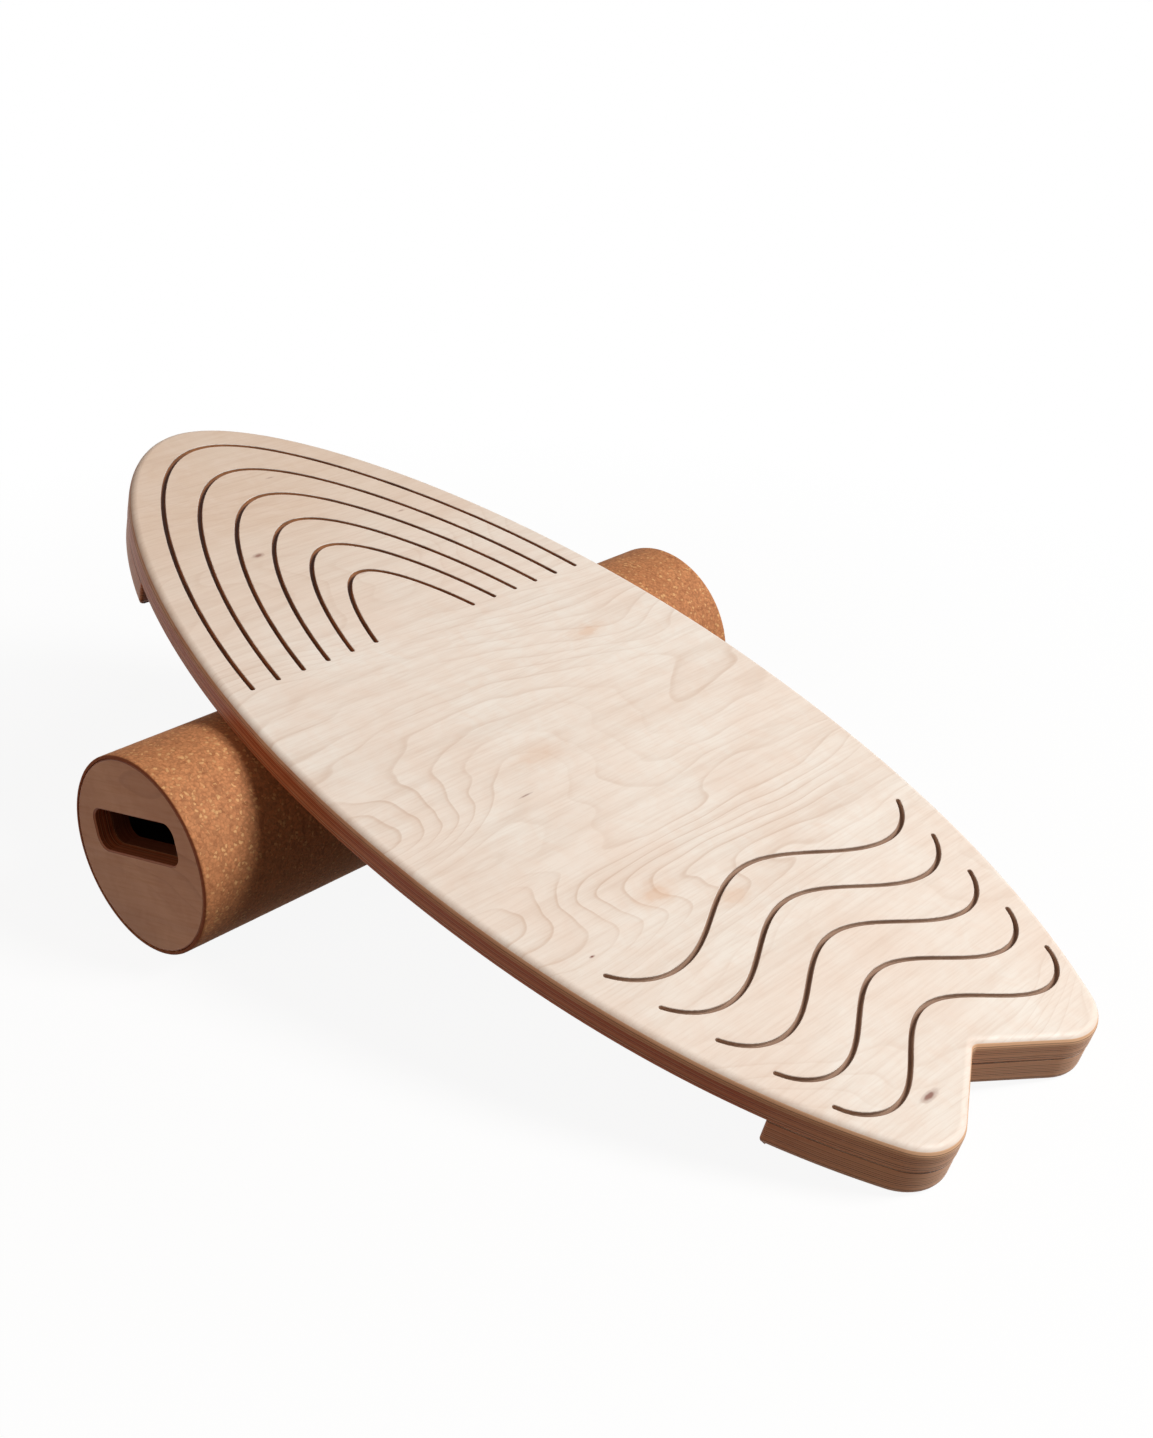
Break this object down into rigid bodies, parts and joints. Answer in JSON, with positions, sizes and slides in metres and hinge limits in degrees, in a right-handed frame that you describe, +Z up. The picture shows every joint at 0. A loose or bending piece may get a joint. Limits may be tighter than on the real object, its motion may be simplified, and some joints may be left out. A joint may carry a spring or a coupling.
{
  "type": "balance roller board",
  "caption": "Surfboard-shaped plywood balance deck with grooved grip areas and end stops, leaning on a cork-covered roller with hand slots in its ends.",
  "frame": {"origin": "on the floor under the middle of the whole part's box, the deck leaning on the roller", "axes": "+X from the nose towards the tail, +Y along the roller's axis away from the picture's camera, +Z up"},
  "size_m": [0.7642, 0.495, 0.2152],
  "materials": {
    "birch_top": "clear satin lacquer",
    "plywood_dark": "sealed plywood edge",
    "cap_birch": "clear satin lacquer",
    "cork": "pressed cork granules, matt",
    "tube_plastic": "extruded, matt",
    "zinc_steel": "zinc plated"
  },
  "bodies": {
    "roller": {"cork_wrap": "cork", "near_end_cap": "cap_birch", "far_end_cap": "cap_birch", "near_cap_plug": "cap_birch", "far_cap_plug": "cap_birch"},
    "rock_carrier": {"roller_tube": "tube_plastic"},
    "board": {"deck": "birch_top", "nose_stop": "plywood_dark", "tail_stop": "plywood_dark", "nose_stop_screw_1": "zinc_steel", "nose_stop_screw_2": "zinc_steel", "nose_stop_screw_3": "zinc_steel", "nose_stop_screw_4": "zinc_steel", "tail_stop_screw_1": "zinc_steel", "tail_stop_screw_2": "zinc_steel", "tail_stop_screw_3": "zinc_steel", "tail_stop_screw_4": "zinc_steel", "tail_stop_screw_5": "zinc_steel"}
  },
  "joints": [
    {"name": "deck_rock", "type": "hinge", "parent": "roller", "child": "rock_carrier", "pos_m": [-0.10933, 0, 0.06598], "axis": [0, -1, 0], "range_deg": [0, 40]},
    {"name": "deck_travel", "type": "slide", "parent": "rock_carrier", "child": "board", "axis": [0.9723, 0, -0.2335], "range_m": [0, 0.0461]}
  ],
  "couplings": [
    {"joint": "deck_travel", "follows": "deck_rock", "m_per_rad": 0.066}
  ]
}
